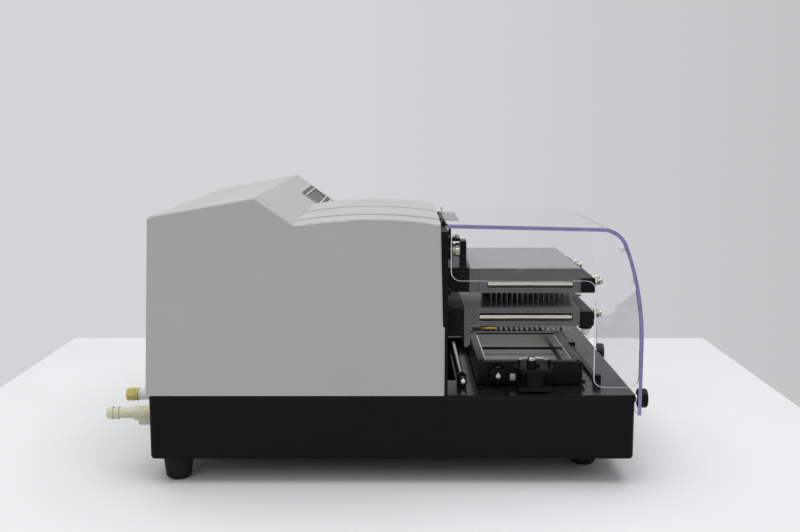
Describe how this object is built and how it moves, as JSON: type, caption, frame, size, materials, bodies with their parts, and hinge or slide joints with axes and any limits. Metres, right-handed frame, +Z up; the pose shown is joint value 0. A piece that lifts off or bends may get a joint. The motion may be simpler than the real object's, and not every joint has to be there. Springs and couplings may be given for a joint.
{
  "type": "microplate washer",
  "caption": "Bench microplate washer: grey cover over a black base, clear hinged shield, twin needle manifolds on lifts, and a sliding plate carriage with a priming trough.",
  "frame": {"origin": "middle of the bounding box in plan, on the surface that the feet stand on", "axes": "+Z up, the front with the shield's grips faces -Y, the operator's right hand is +X"},
  "size_m": [0.356, 0.4546, 0.2408],
  "materials": {
    "base_black": "fine satin powder coat",
    "bay_black": "satin",
    "board_green": "solder mask",
    "bracket_black": "satin",
    "carriage_black": "satin",
    "cover_grey": "fine satin texture",
    "deck_gloss": "smooth gloss",
    "display_glass": "smooth dark window",
    "fitting_natural": "translucent natural",
    "fitting_white": "satin",
    "fitting_yellow": "satin",
    "grip_black": "satin",
    "ground_steel": "ground",
    "hinge_black": "satin",
    "liner_grey": "smooth gloss",
    "manifold_grey": "grey anodised",
    "motor_black": "satin",
    "overlay_grey": "satin membrane",
    "plain_steel": "zinc plated",
    "pulley_alloy": "machined",
    "pump_grey": "satin",
    "rod_steel": "polished",
    "rubber_black": "matt",
    "shield_clear": "clear polished polycarbonate",
    "tube_steel": "drawn",
    "yoke_black": "black anodised"
  },
  "bodies": {
    "chassis": {"base_pan": "base_black", "deck_plate": "deck_gloss", "feet": "rubber_black", "main_cover": "cover_grey", "keypad_overlay": "overlay_grey", "display_module": "display_glass", "bay_bulkhead": "bay_black", "z_frame": "plain_steel", "z_guide_shafts": "ground_steel", "dispense_motor": "motor_black", "hinge_bracket": "hinge_black", "hinge_pin": "ground_steel", "guide_rail": "ground_steel", "rail_supports": "bracket_black", "front_guide": "bracket_black", "drive_belt": "rubber_black", "belt_motor": "motor_black", "idler_post": "ground_steel", "inlet_coupling": "fitting_natural", "waste_coupling": "fitting_white", "vent_coupling": "fitting_yellow", "power_entry_module": "bracket_black", "switch_bezel": "bracket_black", "serial_port": "plain_steel", "power_supply": "plain_steel", "main_board": "board_green", "dispense_pump": "pump_grey"},
    "shield": {"shield_sheet": "shield_clear", "shield_side_panels": "shield_clear", "shield_grips": "grip_black", "hinge_leaf": "hinge_black"},
    "dispense_head": {"dispense_manifold": "manifold_grey", "dispense_nozzles": "tube_steel", "dispense_channel_rods": "rod_steel", "dispense_yoke": "yoke_black", "drip_plate": "manifold_grey", "dispense_front_bar": "yoke_black", "dispense_clamp_screws": "ground_steel", "end_nozzle": "fitting_natural", "aspirate_motor": "motor_black"},
    "aspirate_head": {"aspirate_manifold": "manifold_grey", "aspirate_tubes": "tube_steel", "aspirate_channel_rods": "rod_steel", "aspirate_yoke": "yoke_black", "aspirate_front_bar": "yoke_black", "aspirate_clamp_screws": "ground_steel", "suction_fitting": "ground_steel"},
    "dispense_screw": {"dispense_leadscrew": "ground_steel"},
    "aspirate_screw": {"aspirate_leadscrew": "ground_steel"},
    "carriage": {"carriage_frame": "carriage_black", "rail_slides": "bracket_black", "trough_frame": "carriage_black", "trough_liner": "liner_grey"},
    "knob": {"trough_knob": "grip_black"},
    "latch": {"cam_latch": "grip_black"},
    "clamp": {"plate_clamp": "plain_steel"},
    "drive_wheel": {"drive_pulley": "pulley_alloy"},
    "idler_wheel": {"idler_pulley": "pulley_alloy"},
    "rocker": {"power_switch": "grip_black"}
  },
  "joints": [
    {"name": "shield_hinge", "type": "hinge", "parent": "chassis", "child": "shield", "pos_m": [-0.0885, -0.05785, 0.2165], "axis": [-1, 0, 0], "range_deg": [0, 75]},
    {"name": "dispense_lift", "type": "slide", "parent": "chassis", "child": "dispense_head", "axis": [0, 0, -1], "range_m": [0, 0.022]},
    {"name": "aspirate_lift", "type": "slide", "parent": "dispense_head", "child": "aspirate_head", "axis": [0, 0, -1], "range_m": [0, 0.012]},
    {"name": "dispense_screw_turn", "type": "hinge", "parent": "chassis", "child": "dispense_screw", "pos_m": [-0.096, -0.04005, 0.077], "axis": [0, 0, 1], "range_deg": [0, 1822]},
    {"name": "aspirate_screw_turn", "type": "hinge", "parent": "dispense_head", "child": "aspirate_screw", "pos_m": [-0.068, -0.04005, 0.1315], "axis": [0, 0, 1], "range_deg": [0, 1037]},
    {"name": "carriage_slide", "type": "slide", "parent": "chassis", "child": "carriage", "axis": [-1, 0, 0], "range_m": [0, 0.134]},
    {"name": "trough_knob_turn", "type": "hinge", "parent": "carriage", "child": "knob", "pos_m": [-0.1455, -0.10525, 0.0875], "axis": [-1, 0, 0], "continuous": true},
    {"name": "cam_latch_turn", "type": "hinge", "parent": "carriage", "child": "latch", "pos_m": [-0.1618, -0.13445, 0.0953], "axis": [0, 0, 1], "range_deg": [0, 90]},
    {"name": "plate_clamp_swing", "type": "hinge", "parent": "carriage", "child": "clamp", "pos_m": [0.12318, -0.12395, 0.082], "axis": [0, 0, 1], "range_deg": [0, 20], "stiffness_Nm_per_rad": 0.02},
    {"name": "drive_wheel_turn", "type": "hinge", "parent": "chassis", "child": "drive_wheel", "pos_m": [0.15, -0.0586, 0.056], "axis": [0, 0, -1], "range_deg": [0, 917]},
    {"name": "idler_wheel_turn", "type": "hinge", "parent": "chassis", "child": "idler_wheel", "pos_m": [-0.15, -0.0586, 0.056], "axis": [0, 0, -1], "range_deg": [0, 917]},
    {"name": "power_rocker", "type": "hinge", "parent": "chassis", "child": "rocker", "pos_m": [0.092, 0.18205, 0.049], "axis": [1, 0, 0], "range_deg": [-8, 8]}
  ],
  "couplings": [
    {"joint": "dispense_screw_turn", "follows": "dispense_lift", "rad_per_m": 1256.6},
    {"joint": "aspirate_screw_turn", "follows": "aspirate_lift", "rad_per_m": 1256.6},
    {"joint": "drive_wheel_turn", "follows": "carriage_slide", "rad_per_m": 113.64},
    {"joint": "idler_wheel_turn", "follows": "carriage_slide", "rad_per_m": 113.64}
  ]
}
